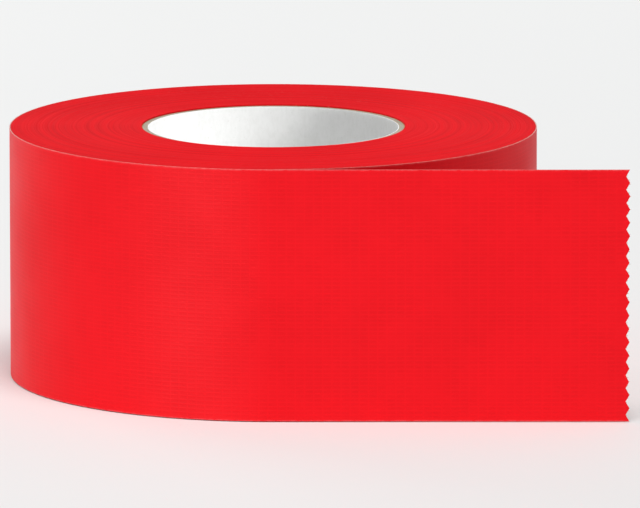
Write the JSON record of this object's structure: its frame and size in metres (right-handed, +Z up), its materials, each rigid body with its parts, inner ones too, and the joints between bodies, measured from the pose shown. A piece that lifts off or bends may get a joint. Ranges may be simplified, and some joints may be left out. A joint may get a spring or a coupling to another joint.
{
  "type": "duct tape roll",
  "caption": "Duct tape roll standing on a flat end: open spiral-wound paper core, wound red cloth tape, and a pulled-out tail with a serrated cut end that peels back and curls.",
  "frame": {"origin": "on the roll's axis, at half the tape's width", "axes": "+Z up along the roll's axis; +X is the way the tail runs; -Y is the front, where the tail leaves the roll"},
  "size_m": [0.1869, 0.1609, 0.0768],
  "materials": {
    "tape_film": "satin red polyethylene film with a faint cloth texture",
    "tape_cloth": "off-white open-weave scrim cloth",
    "tape_adhesive": "soft, slightly glossy cream rubber adhesive",
    "wound_tape_edges": "slit edges of many wound turns, red, fine concentric lines",
    "core_liner_paper": "smooth white paper",
    "core_board": "grey-brown recycled core board",
    "core_kraft_paper": "brown kraft paper"
  },
  "bodies": {
    "roll": {"core_liner": "core_liner_paper", "core_board_ply_1": "core_board", "core_board_ply_2": "core_board", "core_board_ply_3": "core_board", "core_wrap": "core_kraft_paper", "wound_tape": "wound_tape_edges", "outer_turn_film": "tape_film", "outer_turn_cloth": "tape_cloth", "outer_turn_adhesive": "tape_adhesive"},
    "tail_1": {"tail_1_film": "tape_film", "tail_1_cloth": "tape_cloth", "tail_1_adhesive": "tape_adhesive"},
    "tail_2": {"tail_2_film": "tape_film", "tail_2_cloth": "tape_cloth", "tail_2_adhesive": "tape_adhesive"},
    "tail_3": {"tail_3_film": "tape_film", "tail_3_cloth": "tape_cloth", "tail_3_adhesive": "tape_adhesive"},
    "tail_4": {"tail_4_film": "tape_film", "tail_4_cloth": "tape_cloth", "tail_4_adhesive": "tape_adhesive"},
    "tail_5": {"tail_5_film": "tape_film", "tail_5_cloth": "tape_cloth", "tail_5_adhesive": "tape_adhesive"},
    "tail_6": {"tail_6_film": "tape_film", "tail_6_cloth": "tape_cloth", "tail_6_adhesive": "tape_adhesive"},
    "tail_7": {"tail_7_film": "tape_film", "tail_7_cloth": "tape_cloth", "tail_7_adhesive": "tape_adhesive"}
  },
  "joints": [
    {"name": "peel_line", "type": "hinge", "parent": "roll", "child": "tail_1", "pos_m": [0, -0.08036, 0], "axis": [0, 0, 1], "range_deg": [-90, 0]},
    {"name": "tail_flex_1", "type": "hinge", "parent": "tail_1", "child": "tail_2", "pos_m": [0.00819, -0.08036, 0], "axis": [0, 0, 1], "range_deg": [-20, 11.4]},
    {"name": "tail_flex_2", "type": "hinge", "parent": "tail_2", "child": "tail_3", "pos_m": [0.02458, -0.08036, 0], "axis": [0, 0, 1], "range_deg": [-20, 11.4]},
    {"name": "tail_flex_3", "type": "hinge", "parent": "tail_3", "child": "tail_4", "pos_m": [0.04096, -0.08036, 0], "axis": [0, 0, 1], "range_deg": [-20, 11.4]},
    {"name": "tail_flex_4", "type": "hinge", "parent": "tail_4", "child": "tail_5", "pos_m": [0.05735, -0.08036, 0], "axis": [0, 0, 1], "range_deg": [-20, 11.4]},
    {"name": "tail_flex_5", "type": "hinge", "parent": "tail_5", "child": "tail_6", "pos_m": [0.07373, -0.08036, 0], "axis": [0, 0, 1], "range_deg": [-20, 11.4]},
    {"name": "tail_flex_6", "type": "hinge", "parent": "tail_6", "child": "tail_7", "pos_m": [0.09012, -0.08036, 0], "axis": [0, 0, 1], "range_deg": [-20, 11.4]}
  ]
}
